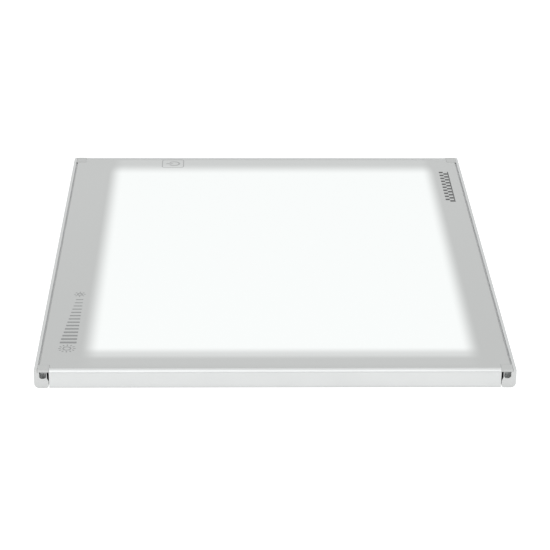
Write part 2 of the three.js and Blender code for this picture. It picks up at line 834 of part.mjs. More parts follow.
// A self-adhesive foot with a softened lower edge.
function rubberFoot() {
  const profile = [
    new THREE.Vector2(0, -footStandOff),
    new THREE.Vector2(footRadius - 0.5, -footStandOff),
    new THREE.Vector2(footRadius - 0.12, -footStandOff + 0.15),
    new THREE.Vector2(footRadius, -footStandOff + 0.5),
    new THREE.Vector2(footRadius, coverBottom - bond),
    new THREE.Vector2(0, coverBottom - bond),
  ];
  return new THREE.LatheGeometry(profile, 28).rotateX(Math.PI / 2);
}

function buildBase() {
  const base = new THREE.Group();
  base.add(piece("back_cover", backCover(), coverGrey));
  coverScrewPlaces.forEach(([x, y], i) => {
    const screw = piece(`cover_screw_${i + 1}`, flatScrew(3.8), zincSteel);
    screw.position.set(x, y, coverBottom);
    base.add(screw);
  });
  for (const [end, sideY] of Object.entries(ends)) {
    for (const [side, sideX] of Object.entries(sides)) {
      const foot = piece(`foot_${end}_${side}`, rubberFoot(), rubber);
      foot.position.set(sideX * footX, sideY * footY, 0);
      base.add(foot);
    }
  }
  return base;
}

// ---- Assembly ----

const lightBox = new THREE.Group();
lightBox.position.z = footStandOff;
lightBox.add(buildFrame(), buildCorners(), buildTop(), buildLightEngine(), buildElectronics(), buildBase());

export default lightBox;
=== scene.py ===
"""A slim LED light box for tracing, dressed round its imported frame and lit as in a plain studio.

Metres, in the frame's own axes: X to the right, Y from front to rear, Z up.
"""

import math

import bmesh
import bpy
from mathutils import Matrix, Vector


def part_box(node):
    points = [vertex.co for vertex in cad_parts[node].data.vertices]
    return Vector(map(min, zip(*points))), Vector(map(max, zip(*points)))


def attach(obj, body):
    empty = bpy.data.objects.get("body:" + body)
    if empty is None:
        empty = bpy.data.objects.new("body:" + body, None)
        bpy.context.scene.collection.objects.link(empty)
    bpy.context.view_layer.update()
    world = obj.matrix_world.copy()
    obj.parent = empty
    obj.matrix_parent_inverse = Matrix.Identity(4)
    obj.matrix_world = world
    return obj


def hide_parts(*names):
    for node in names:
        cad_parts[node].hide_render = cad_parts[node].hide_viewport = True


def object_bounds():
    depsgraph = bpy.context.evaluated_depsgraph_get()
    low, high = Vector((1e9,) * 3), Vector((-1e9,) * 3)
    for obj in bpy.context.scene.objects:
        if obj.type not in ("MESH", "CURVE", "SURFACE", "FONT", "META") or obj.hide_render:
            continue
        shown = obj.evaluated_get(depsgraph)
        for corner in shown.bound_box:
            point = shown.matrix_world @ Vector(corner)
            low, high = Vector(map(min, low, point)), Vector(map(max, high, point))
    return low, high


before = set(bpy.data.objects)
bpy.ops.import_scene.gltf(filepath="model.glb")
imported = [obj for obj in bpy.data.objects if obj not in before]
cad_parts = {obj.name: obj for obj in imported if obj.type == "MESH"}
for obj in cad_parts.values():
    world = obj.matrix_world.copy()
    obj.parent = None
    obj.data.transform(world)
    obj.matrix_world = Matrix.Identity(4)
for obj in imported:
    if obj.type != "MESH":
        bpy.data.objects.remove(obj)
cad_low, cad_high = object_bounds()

MM = 0.001


# ---- Material building ----


class Surface:
    """One material's node tree, built with short calls."""

    def __init__(self, name):
        self.material = bpy.data.materials.new(name)
        self.material.use_nodes = True
        self.nodes = self.material.node_tree.nodes
        self.links = self.material.node_tree.links
        self.nodes.clear()
        self.place = self.add("ShaderNodeTexCoord").outputs["Object"]

    def feed(self, socket, value):
        if isinstance(value, bpy.types.NodeSocket):
            self.links.new(value, socket)
        elif isinstance(value, tuple) and len(value) == 3 and socket.type == "RGBA":
            socket.default_value = (*value, 1)
        else:
            socket.default_value = value

    def add(self, kind, inputs=None, **settings):
        node = self.nodes.new(kind)
        for key, value in settings.items():
            setattr(node, key, value)
        for key, value in (inputs or {}).items():
            self.feed(node.inputs[key], value)
        return node

    def calc(self, operation, first, second=0.0, third=0.0):
        node = self.add("ShaderNodeMath", {0: first, 1: second, 2: third}, operation=operation)
        return node.outputs[0]

    def axis(self, name):
        split = self.add("ShaderNodeSeparateXYZ", {0: self.place})
        return split.outputs[name]

    def scaled(self, stretch):
        node = self.add("ShaderNodeVectorMath", {0: self.place, 1: stretch}, operation="MULTIPLY")
        return node.outputs[0]

    def noise(self, scale, detail=2.0, stretch=(1, 1, 1), rough=0.5):
        inputs = {"Vector": self.scaled(stretch), "Scale": scale, "Detail": detail, "Roughness": rough}
        return self.add("ShaderNodeTexNoise", inputs).outputs[0]

    def cells(self, scale, output="Distance", **settings):
        inputs = {"Vector": self.place, "Scale": scale}
        return self.add("ShaderNodeTexVoronoi", inputs, **settings).outputs[output]

    def ramp(self, value, start, end, low=0.0, high=1.0):
        """Turns smoothly from low to high as value goes from start to end."""
        inputs = {"Value": value, "From Min": start, "From Max": end, "To Min": low, "To Max": high}
        node = self.add("ShaderNodeMapRange", inputs, interpolation_type="SMOOTHSTEP")
        return node.outputs[0]

    def band(self, value, start, end, soft):
        """One inside start to end and nought outside, with soft edges."""
        inside = self.ramp(value, start - soft, start + soft)
        return self.calc("MULTIPLY", inside, self.ramp(value, end - soft, end + soft, 1.0, 0.0))

    def mix(self, share, first, second):
        node = self.add("ShaderNodeMix", data_type="RGBA")
        self.feed(node.inputs[0], share)
        self.feed(node.inputs[6], first)
        self.feed(node.inputs[7], second)
        return node.outputs[2]

    def bump(self, height, distance, strength=1.0):
        inputs = {"Height": height, "Distance": distance, "Strength": strength}
        return self.add("ShaderNodeBump", inputs).outputs[0]

    def edge_wear(self, reach, break_up):
        """Nought on flat faces, up to one on outer edges, broken up by a noise."""
        rounded = self.add("ShaderNodeBevel", {"Radius": reach}, samples=4).outputs[0]
        true = self.add("ShaderNodeNewGeometry").outputs["Normal"]
        dot = self.add("ShaderNodeVectorMath", {0: rounded, 1: true}, operation="DOT_PRODUCT")
        bent = self.ramp(dot.outputs["Value"], 0.99, 0.75)
        return self.calc("MULTIPLY", bent, self.ramp(break_up, 0.42, 0.62))

    def close(self, **inputs):
        """Ends the tree with a Principled shader. Its inputs are named with _ for spaces."""
        shader = self.add("ShaderNodeBsdfPrincipled")
        for key, value in inputs.items():
            self.feed(shader.inputs[key.replace("_", " ")], value)
        self.add("ShaderNodeOutputMaterial", {0: shader.outputs[0]})
        return self.material


# ---- Materials ----


def anodised(name, along):
    """Satin anodised aluminium with faint extrusion lines along one axis and sawn end faces, and painted
    shade on upward faces sunk below the top, as in the groove beside the lip.
    """
    s = Surface(name)
    stretch = (0.01, 1, 1) if along == "X" else (1, 0.01, 1)
    lines = s.noise(2600, 3, stretch)
    grain = s.noise(9000, 2)
    cloud = s.noise(35, 3)
    normal = s.add("ShaderNodeNewGeometry").outputs["True Normal"]
    facing = s.add("ShaderNodeSeparateXYZ", {0: normal}).outputs[along]
    sawn = s.ramp(s.calc("ABSOLUTE", facing), 0.9, 0.97)
    wear = s.edge_wear(0.35 * MM, s.noise(420, 4))
    tone = s.mix(cloud, (0.635, 0.648, 0.645), (0.69, 0.702, 0.70))
    tone = s.mix(s.calc("MULTIPLY", sawn, 0.42), tone, (0.55, 0.555, 0.55))
    tone = s.mix(s.calc("MULTIPLY", wear, 0.5), tone, (0.86, 0.86, 0.86))
    rough = s.calc("MULTIPLY_ADD", lines, 0.16, 0.30)
    rough = s.calc("MULTIPLY_ADD", sawn, 0.12, rough)
    # Painted shade: upward faces sunk 0.6 to 2 mm below the top of the frame, such as the groove floor
    # beside the lip, get a darker tone and more roughness.
    upward = s.ramp(s.add("ShaderNodeSeparateXYZ", {0: normal}).outputs["Z"], 0.9, 0.97)
    below_lip = s.calc("SUBTRACT", cad_high.z, s.axis("Z"))
    sunk = s.calc("MULTIPLY", upward, s.band(below_lip, 0.6 * MM, 2 * MM, 0.2 * MM))
    tone = s.mix(s.calc("MULTIPLY", sunk, 0.9), tone, (0.60, 0.605, 0.605))
    rough = s.calc("MULTIPLY_ADD", sunk, 0.35, rough)
    relief = s.calc("ADD", s.calc("MULTIPLY", lines, 0.6), s.calc("MULTIPLY", grain, 0.5))
    return s.close(
        Base_Color=tone,
        Metallic=0.95,
        Roughness=rough,
        Normal=s.bump(relief, 0.02 * MM, 0.5),
    )


def lit_share(s):
    """How much of the full light reaches each place on the top sheet. The window lies over the light
    guide, and the light fades out softly past each of the guide's edges. A little of it leaks into the
    whole border, more to the rear."""
    guide_low, guide_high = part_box("light_guide_plate")
    # Distances run inward from the guide's edges, so those below nought lie outside it. Where each
    # ramp starts and ends was fitted to the brightness in the photo.
    from_left = s.calc("SUBTRACT", s.axis("X"), guide_low.x)
    from_right = s.calc("SUBTRACT", guide_high.x, s.axis("X"))
    from_front = s.calc("SUBTRACT", s.axis("Y"), guide_low.y)
    from_rear = s.calc("SUBTRACT", guide_high.y, s.axis("Y"))
    left = s.ramp(from_left, -4.8 * MM, 7.4 * MM)
    right = s.ramp(from_right, -4 * MM, 7.6 * MM)
    front = s.calc(
        "ADD",
        s.ramp(from_front, -8 * MM, -1 * MM, 0, 0.34),
        s.ramp(from_front, -1 * MM, 9 * MM, 0, 0.60),
    )
    front = s.calc("ADD", front, s.ramp(from_front, -21 * MM, -13 * MM, 0, 0.06))
    rear = s.calc(
        "ADD",
        s.ramp(from_rear, -19.3 * MM, -11.3 * MM, 0, 0.2),
        s.ramp(from_rear, -6.3 * MM, 15 * MM, 0, 0.8),
    )
    window = s.calc("MULTIPLY", s.calc("MULTIPLY", left, right), s.calc("MULTIPLY", front, rear))
    leak = s.ramp(s.axis("Y"), cad_low.y, cad_high.y, 0, 0.075)
    return s.calc("MAXIMUM", window, leak)


SHEET_GREY = (0.464, 0.474, 0.469)
EDGE_GREY = (0.52, 0.53, 0.525)
WINDOW_GLOW = (0.416, 0.429, 0.427)


def frosted(name, glowing):
    """Opal acrylic with a fine etched grain."""
    s = Surface(name)
    grain = s.noise(5200, 2)
    mottle = s.noise(60, 3)
    tone = s.mix(s.calc("MULTIPLY", mottle, 0.12), SHEET_GREY, (0.46, 0.465, 0.46))
    normal = s.add("ShaderNodeNewGeometry").outputs["True Normal"]
    upward = s.add("ShaderNodeSeparateXYZ", {0: normal}).outputs["Z"]
    edge = s.ramp(s.calc("ABSOLUTE", upward), 0.25, 0.6, 1.0, 0.0)
    tone = s.mix(edge, tone, EDGE_GREY)
    inputs = {}
    if glowing:
        share = lit_share(s)
        inputs["Emission_Color"] = s.mix(share, (0, 0, 0), WINDOW_GLOW)
        inputs["Emission_Strength"] = 1.0
    return s.close(
        Base_Color=tone,
        Roughness=s.calc("MULTIPLY_ADD", grain, 0.12, 0.48),
        Specular_IOR_Level=0.35,
        Normal=s.bump(grain, 0.01 * MM, 0.35),
        **inputs,
    )


def film(name, tone, grain_scale, roughness):
    """A thin plastic film with a fine texture and faint streaks along its length."""
    s = Surface(name)
    streak = s.noise(900, 2, (1, 0.02, 1))
    grain = s.noise(grain_scale, 2)
    darker = tuple(c * 0.93 for c in tone)
    return s.close(
        Base_Color=s.mix(streak, darker, tone),
        Roughness=s.calc("MULTIPLY_ADD", grain, 0.15, roughness),
        Normal=s.bump(grain, 0.01 * MM, 0.4),
    )


def light_guide(name):
    """Clear acrylic with a fine grid of printed dots that lets the light out."""
    s = Surface(name)
    pitch = 1.6 * MM
    cell_x = s.calc("PINGPONG", s.axis("X"), pitch / 2)
    cell_y = s.calc("PINGPONG", s.axis("Y"), pitch / 2)
    away = s.calc("SQRT", s.calc("ADD", s.calc("POWER", cell_x, 2), s.calc("POWER", cell_y, 2)))
    dot_core, dot_rim = 0.22 * MM, 0.30 * MM
    dot = s.ramp(away, dot_core, dot_rim, 1, 0)
    haze = s.noise(200, 3)
    tone = s.mix(haze, (0.80, 0.88, 0.88), (0.88, 0.94, 0.94))
    return s.close(
        Base_Color=s.mix(dot, tone, (0.95, 0.95, 0.95)),
        Roughness=s.calc("MULTIPLY_ADD", dot, 0.5, 0.08),
        Coat_Weight=0.3,
        Normal=s.bump(dot, 0.01 * MM, 0.5),
    )


def pressed_board(name):
    """Off-white fibre board with short fibres showing."""
    s = Surface(name)
    fibres = s.noise(700, 4, (1, 0.25, 1))
    flecks = s.ramp(s.cells(1400), 0.05, 0.2)
    tone = s.mix(fibres, (0.66, 0.65, 0.61), (0.80, 0.79, 0.76))
    return s.close(
        Base_Color=s.mix(flecks, (0.50, 0.48, 0.44), tone),
        Roughness=s.calc("MULTIPLY_ADD", fibres, 0.2, 0.7),
        Normal=s.bump(fibres, 0.03 * MM, 0.5),
    )


def tape(name):
    """Grey thermal tape with a woven carrier."""
    s = Surface(name)
    # Radians in each metre, which sets the threads 0.7 mm apart.
    weave = 9000
    across = s.calc("SINE", s.calc("MULTIPLY", s.axis("Y"), weave))
    up = s.calc("SINE", s.calc("MULTIPLY", s.axis("Z"), weave))
    weave = s.calc("MULTIPLY_ADD", s.calc("MULTIPLY", across, up), 0.5, 0.5)
    return s.close(
        Base_Color=s.mix(weave, (0.25, 0.27, 0.28), (0.36, 0.38, 0.39)),
        Roughness=s.calc("MULTIPLY_ADD", weave, 0.1, 0.75),
        Normal=s.bump(weave, 0.02 * MM, 0.4),
    )


def strip_mask(name):
    """White solder mask on a strip, with the copper tracks showing through a little."""
    s = Surface(name)
    track = s.band(s.noise(240, 1, (1, 0.15, 1)), 0.48, 0.52, 0.005)
    return s.close(
        Base_Color=s.mix(s.calc("MULTIPLY", track, 0.35), (0.80, 0.80, 0.76), (0.62, 0.60, 0.50)),
        Roughness=s.calc("MULTIPLY_ADD", s.noise(3000), 0.2, 0.35),
        Normal=s.bump(track, 0.03 * MM, 0.4),
    )


def circuit(name):
    """Green solder mask over copper tracks, with small tinned vias."""
    s = Surface(name)
    track = s.calc("GREATER_THAN", s.cells(420, distance="CHEBYCHEV"), 0.42)
    via = s.ramp(s.cells(650), 0.12, 0.16, 1, 0)
    mask = s.mix(s.calc("MULTIPLY", track, 0.6), (0.012, 0.085, 0.035), (0.03, 0.17, 0.075))
    return s.close(
        Base_Color=s.mix(via, mask, (0.62, 0.62, 0.60)),
        Roughness=s.calc("MULTIPLY_ADD", s.noise(2500), 0.25, 0.3),
        Normal=s.bump(s.calc("ADD", track, via), 0.03 * MM, 0.5),
    )


def metal(name, tone, roughness, scratch_scale=1800):
    """Plated or bare metal with fine scratches and slight staining."""
    s = Surface(name)
    scratches = s.noise(scratch_scale, 4, (1, 0.2, 1))
    stain = s.noise(150, 3)
    darker = tuple(c * 0.8 for c in tone)
    wear = s.edge_wear(0.15 * MM, s.noise(900, 2))
    body = s.mix(stain, darker, tone)
    brighter = tuple(min(1.0, c * 1.25) for c in tone)
    return s.close(
        Base_Color=s.mix(s.calc("MULTIPLY", wear, 0.6), body, brighter),
        Metallic=0.97,
        Roughness=s.calc("MULTIPLY_ADD", scratches, 0.25, roughness),
        Normal=s.bump(scratches, 0.01 * MM, 0.4),
    )


def moulded(name, tone, roughness, grain_scale, depth):
    """Moulded plastic or rubber with a spark-eroded grain and paler rubbed edges."""
    s = Surface(name)
    grain = s.cells(grain_scale, feature="SMOOTH_F1")
    cloud = s.noise(45, 3)
    darker = tuple(c * 0.9 for c in tone)
    rubbed = tuple(c + (0.9 - c) * 0.12 for c in tone)
    wear = s.edge_wear(0.3 * MM, s.noise(500, 3))
    return s.close(
        Base_Color=s.mix(wear, s.mix(cloud, darker, tone), rubbed),
        Roughness=s.calc("MULTIPLY_ADD", grain, 0.2, roughness),
        Normal=s.bump(grain, depth, 0.5),
    )


def ink(name, tone):
    """Screen-printed ink, a little uneven."""
    s = Surface(name)
    spots = s.noise(3500, 2)
    paler = tuple(c * 1.15 for c in tone)
    return s.close(
        Base_Color=s.mix(spots, tone, paler),
        Roughness=s.calc("MULTIPLY_ADD", spots, 0.15, 0.45),
        Normal=s.bump(spots, 0.005 * MM, 0.3),
    )


rail_metal = anodised("anodised_rail", "Y")
bar_metal = anodised("anodised_bar", "X")
slot_looks = {
    "top_opal": frosted("frosted_opal", True),
    "corner_cap": frosted("frosted_cap", False),
    "border_film": film("border_film_grey", (0.55, 0.56, 0.56), 4000, 0.6),
    "lit_film": film("diffuser_film_white", (0.92, 0.93, 0.93), 6000, 0.5),
    "white_film": film("reflector_film_white", (0.90, 0.91, 0.91), 2500, 0.35),
    "clear_guide": light_guide("guide_acrylic"),
    "support_board": pressed_board("pressed_board"),
    "grey_tape": tape("thermal_tape"),
    "circuit_board": circuit("circuit_green"),
    "led_board": strip_mask("strip_white"),
    "sensor_copper": metal("sensor_copper", (0.72, 0.36, 0.20), 0.3),
    "black_moulding": moulded("black_moulding", (0.02, 0.02, 0.021), 0.4, 2200, 0.02 * MM),
    "contact_metal": metal("contact_nickel", (0.66, 0.64, 0.58), 0.2),
    "zinc_steel": metal("zinc_steel", (0.56, 0.58, 0.60), 0.25),
    "cover_plastic": moulded("cover_plastic", (0.62, 0.635, 0.63), 0.5, 1500, 0.03 * MM),
    "foot_rubber": moulded("foot_rubber", (0.035, 0.035, 0.037), 0.7, 1800, 0.04 * MM),
    "wire_red": moulded("wire_red", (0.50, 0.03, 0.02), 0.4, 900, 0.01 * MM),
    "wire_black": moulded("wire_black", (0.02, 0.02, 0.022), 0.4, 900, 0.01 * MM),
    "wire_white": moulded("wire_white", (0.78, 0.78, 0.75), 0.4, 900, 0.01 * MM),
}


def look_for(name, slot):
    if slot == "frame_metal":
        return bar_metal if name.endswith("_bar") else rail_metal
    return slot_looks[slot]


# ---- Softened edges on the frame's own pieces ----


SPLIT_CORNER = 0.001 * MM
BEVEL_SLIVER = 0.0005 * MM
WIRE_SWELL = 0.06 * MM


def shade_evenly(obj):
    """Keeps large flat faces looking flat beside small rounded ones."""
    shade = obj.modifiers.new("shade", "WEIGHTED_NORMAL")
    shade.keep_sharp = True


def soften(obj, width, segments=2):
    """Welds the split corners, rounds the sharp edges a little, closes up slivers and shades evenly."""
    weld = obj.modifiers.new("weld", "WELD")
    weld.merge_threshold = SPLIT_CORNER
    bevel = obj.modifiers.new("bevel", "BEVEL")
    bevel.width = width
    bevel.segments = segments
    bevel.limit_method = "ANGLE"
    bevel.angle_limit = math.radians(35)
    bevel.use_clamp_overlap = True
    close_up = obj.modifiers.new("close_up", "WELD")
    close_up.merge_threshold = BEVEL_SLIVER
    shade = obj.modifiers.new("shade", "WEIGHTED_NORMAL")
    shade.weight = 80
    shade.keep_sharp = False


def make_round(obj):
    """Welds a faceted wire and rounds it, then swells it back to its true thickness."""
    weld = obj.modifiers.new("weld", "WELD")
    weld.merge_threshold = SPLIT_CORNER
    smooth = obj.modifiers.new("smooth", "SUBSURF")
    smooth.levels = 2
    smooth.render_levels = 2
    swell = obj.modifiers.new("swell", "DISPLACE")
    swell.strength = WIRE_SWELL
    swell.mid_level = 0


edge_widths = {
    "frame_metal": 0.15 * MM,
    "top_opal": 0.12 * MM,
    "corner_cap": 0.12 * MM,
    "cover_plastic": 0.2 * MM,
    "foot_rubber": 0.1 * MM,
}
other_edges = 0.05 * MM

for name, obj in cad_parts.items():
    slot = obj.data.materials[0].name
    obj.material_slots[0].material = look_for(name, slot)
    if slot.startswith("wire_"):
        make_round(obj)
    else:
        soften(obj, edge_widths.get(slot, other_edges))


# ---- Finer pieces that stand for plain ones of the frame ----


def stand_in(name, work, looks, node):
    """Turns the finished mesh work into a piece that is shown in place of a node of the frame."""
    bmesh.ops.recalc_face_normals(work, faces=work.faces)
    if work.calc_volume(signed=True) < 0:
        bmesh.ops.reverse_faces(work, faces=work.faces)
    mesh = bpy.data.meshes.new(name)
    work.to_mesh(mesh)
    work.free()
    for look in looks:
        mesh.materials.append(look)
    piece = bpy.data.objects.new(name, mesh)
    bpy.context.scene.collection.objects.link(piece)
    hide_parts(node)
    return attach(piece, "root")


def add_box(work, low, high, look=0, edge=0.0):
    """A box between two corners, with its edges chamfered by edge."""
    size = Vector(high) - Vector(low)
    middle = (Vector(high) + Vector(low)) / 2
    made = bmesh.ops.create_cube(work, size=1)["verts"]
    bmesh.ops.scale(work, verts=made, vec=size)
    bmesh.ops.translate(work, verts=made, vec=middle)
    faces = {face for vert in made for face in vert.link_faces}
    for face in faces:
        face.material_index = look
    if edge:
        edges = {e for face in faces for e in face.edges}
        bmesh.ops.bevel(work, geom=list(edges), offset=edge, segments=2, profile=0.5, affect="EDGES")
    return faces


def add_turned(work, profile, centre, sides=48, look=0, radius_at=None):
    """A solid turned about an upright axis, from (radius, height) pairs that begin and end on the axis.
    radius_at(radius, height, angle) may bend the surface, as a thread does."""
    rings = []
    for radius, height in profile[1:-1]:
        ring = []
        for i in range(sides):
            angle = 2 * math.pi * i / sides
            r = radius_at(radius, height, angle) if radius_at else radius
            ring.append(work.verts.new(centre + Vector((r * math.cos(angle), r * math.sin(angle), height))))
        rings.append(ring)
    faces = []
    for below, above in zip(rings, rings[1:]):
        for i in range(sides):
            j = (i + 1) % sides
            faces.append(work.faces.new((below[i], below[j], above[j], above[i])))
    foot = work.verts.new(centre + Vector((0, 0, profile[0][1])))
    top = work.verts.new(centre + Vector((0, 0, profile[-1][1])))
    for i in range(sides):
        j = (i + 1) % sides
        faces.append(work.faces.new((foot, rings[0][j], rings[0][i])))
        faces.append(work.faces.new((top, rings[-1][i], rings[-1][j])))
    for face in faces:
        face.material_index = look
        face.smooth = True


def rounding(radius, centre_radius, centre_height, start, end, steps=6):
    """Profile points round an arc, with its angles in degrees from the level."""
    turns = [math.radians(start + (end - start) * i / steps) for i in range(steps + 1)]
    return [(centre_radius + radius * math.cos(t), centre_height + radius * math.sin(t)) for t in turns]


THREAD_PITCH = 0.6 * MM
THREAD_DEPTH = 0.22 * MM
PLAIN_NECK = 0.3 * MM
RECESS_ARM = 1.3 * MM
RECESS_WIDTH = 0.27 * MM
RECESS_DEPTH = 0.8 * MM


def threaded(radius, height, angle):
    """The radius of a cut thread at one height and angle. Outside the thread the profile's own holds."""
    if height > -PLAIN_NECK:
        return radius
    turn = (height / THREAD_PITCH - angle / (2 * math.pi)) % 1
    return radius - THREAD_DEPTH * abs(2 * turn - 1)


def cross_cutter(arm, width, top, depth):
    """A tapered cross for cutting a driver recess, as a bmesh."""
    work = bmesh.new()
    narrowed = 0.5
    for half_x, half_y in ((arm, width), (width, arm)):
        made = bmesh.ops.create_cube(work, size=2)["verts"]
        for vert in made:
            deep = vert.co.z < 0
            share = narrowed if deep else 1.0
            height = top - depth if deep else top + depth
            vert.co = Vector((vert.co.x * half_x * share, vert.co.y * half_y * share, height))
    return work


def cut_mesh(work, cutter):
    """The mesh of work less cutter, both given as bmeshes."""
    objects = []
    for part in (work, cutter):
        mesh = bpy.data.meshes.new("part")
        bmesh.ops.recalc_face_normals(part, faces=part.faces)
        part.to_mesh(mesh)
        part.free()
        obj = bpy.data.objects.new("part", mesh)
        bpy.context.scene.collection.objects.link(obj)
        objects.append(obj)
    body, tool = objects
    boolean = body.modifiers.new("cut", "BOOLEAN")
    boolean.operation = "DIFFERENCE"
    boolean.solver = "EXACT"
    boolean.use_self = True
    boolean.object = tool
    result = bpy.data.meshes.new_from_object(body.evaluated_get(bpy.context.evaluated_depsgraph_get()))
    for obj in objects:
        bpy.data.objects.remove(obj)
    return result


def screw_mesh(length, shank, head_profile):
    """A screw with its seat at height nought: a threaded shank below and a turned head above."""
    rows = 44
    tip = -length
    taper = 0.4 * MM
    blunt = shank * 0.6
    profile = [(0, tip), (blunt, tip)]
    for i in range(rows + 1):
        height = tip + taper + (length - taper) * i / rows
        profile.append((shank, height))
    profile += head_profile
    work = bmesh.new()
    add_turned(work, profile, Vector((0, 0, 0)), 36, radius_at=threaded)
    head_top = head_profile[-1][1]
    return cut_mesh(work, cross_cutter(RECESS_ARM, RECESS_WIDTH, head_top, RECESS_DEPTH))


def place_screws(prefix, mesh, turned_over):
    """Puts a copy of a screw in the place of each of the frame's screws with that name."""
    for node in sorted(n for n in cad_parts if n.startswith(prefix)):
        low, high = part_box(node)
        middle = (low + high) / 2
        seat = low.z if turned_over else high.z
        work = bmesh.new()
        work.from_mesh(mesh)
        head_top = max(v.co.z for v in work.verts)
        for vert in work.verts:
            x, y, z = vert.co
            z -= head_top
            if turned_over:
                vert.co = Vector((x + middle.x, middle.y - y, seat - z))
            else:
                vert.co = Vector((x + middle.x, y + middle.y, seat + z))
        for face in work.faces:
            face.smooth = True
        piece = stand_in(node + "_turned", work, [slot_looks["zinc_steel"]], node)
        shade_evenly(piece)


def all_screws():
    """Pan-headed screws in the corners, and flat-headed ones turned over in the cover."""
    shank = 1.25 * MM
    pan = 2.3 * MM
    pan_chamfer = 0.1 * MM
    pan_round = 0.8 * MM
    pan_tall = 1.5 * MM
    pan_head = [
        (pan - pan_chamfer, 0),
        (pan, pan_chamfer),
        *rounding(pan_round, pan - pan_round, pan_tall - pan_round, 0, 90),
        (0, pan_tall),
    ]
    corner_length = 3.6 * MM
    place_screws("corner_screw_", screw_mesh(corner_length, shank, pan_head), False)
    flat = 2.25 * MM
    thick = 1.1 * MM
    flat_head = [
        (flat - 0.05 * MM, thick - 0.05 * MM),
        (flat, thick - 0.02 * MM),
        (flat - 0.03 * MM, thick),
        (0, thick),
    ]
    cover_length = 2.7 * MM
    place_screws("cover_screw_", screw_mesh(cover_length, shank, flat_head), True)


def round_feet():
    """Turned rubber feet with a soft lower edge and two fine rings in the sole."""
    for node in sorted(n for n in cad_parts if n.startswith("foot_")):
        low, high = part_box(node)
        radius = (high.x - low.x) / 2
        tall = high.z - low.z
        ring = 0.12 * MM
        lower_edge = 0.35 * MM
        profile = [(0, 0)]
        for groove in (0.45, 0.7):
            middle = radius * groove
            profile += [(middle - ring, 0), (middle, ring), (middle + ring, 0)]
        profile += rounding(lower_edge, radius - lower_edge, lower_edge, -90, 0)
        profile += [(radius, tall), (0, tall)]
        work = bmesh.new()
        add_turned(work, profile, Vector(((low.x + high.x) / 2, (low.y + high.y) / 2, low.z)), 72)
        piece = stand_in(node + "_turned", work, [slot_looks["foot_rubber"]], node)
        shade_evenly(piece)


phosphor = moulded("phosphor_yellow", (0.80, 0.56, 0.08), 0.45, 4000, 0.01 * MM)
led_case = moulded("led_case_white", (0.86, 0.86, 0.84), 0.35, 3000, 0.005 * MM)
epoxy = moulded("black_epoxy", (0.022, 0.022, 0.024), 0.5, 5000, 0.01 * MM)
ferrite = moulded("grey_ferrite", (0.055, 0.053, 0.05), 0.55, 3000, 0.02 * MM)
ceramic = moulded("tan_ceramic", (0.42, 0.30, 0.18), 0.4, 4000, 0.005 * MM)
nylon = moulded("white_nylon", (0.78, 0.77, 0.71), 0.4, 2500, 0.01 * MM)
tinned = metal("tinned_pads", (0.72, 0.72, 0.70), 0.22, 4000)
enamelled = metal("enamelled_copper", (0.62, 0.25, 0.10), 0.25, 4000)


def fine_led_strip(node):
    """A strip with its LEDs in white cases, each with a sunk phosphor window and two tinned pads, and
    a small resistor after every third."""
    low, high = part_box(node)
    count = 24
    thickness = 0.8 * MM
    half_case, half_tall = 1.5 * MM, 0.7 * MM
    window_rim, window_depth = 0.28 * MM, 0.15 * MM
    pad_from_centre, half_pad, half_pad_tall, pad_proud = 1.75 * MM, 0.3 * MM, 0.5 * MM, 0.06 * MM
    half_resistor, half_resistor_tall, resistor_proud = 0.5 * MM, 0.3 * MM, 0.35 * MM
    pitch = (high.y - low.y) / count
    inward = -1 if low.x > 0 else 1
    face = high.x if inward > 0 else low.x
    board = face - inward * thickness
    back = low.x if inward > 0 else high.x
    middle = (low.z + high.z) / 2
    work = bmesh.new()

    def slab(x_from, x_to, y_from, y_to, z_from, z_to, look, edge=0.0):
        return add_box(
            work,
            (min(x_from, x_to), y_from, z_from),
            (max(x_from, x_to), y_to, z_to),
            look,
            edge,
        )

    slab(board, back, low.y, high.y, low.z, high.z, 0, 0.05 * MM)
    for i in range(count):
        y = low.y + (i + 0.5) * pitch
        case = slab(board, face, y - half_case, y + half_case, middle - half_tall, middle + half_tall, 1)
        window = [f for f in case if f.normal.x * inward > 0.9]
        bmesh.ops.inset_individual(work, faces=window, thickness=window_rim)
        sunk = {v for f in window for v in f.verts}
        bmesh.ops.translate(work, verts=list(sunk), vec=(-inward * window_depth, 0, 0))
        for f in window:
            f.material_index = 2
        proud = board + inward * pad_proud
        for side in (-1, 1):
            at = y + side * pad_from_centre
            near, far = at - half_pad, at + half_pad
            slab(board, proud, near, far, middle - half_pad_tall, middle + half_pad_tall, 3)
        if i % 3 == 2 and i < count - 1:
            at = y + pitch / 2
            raised = board + inward * resistor_proud
            near, far = at - half_resistor, at + half_resistor
            low_z, high_z = middle - half_resistor_tall, middle + half_resistor_tall
            slab(board, raised, near, far, low_z, high_z, 4, 0.03 * MM)
    looks = [slot_looks["led_board"], led_case, phosphor, tinned, epoxy]
    stand_in(node + "_fitted", work, looks, node)


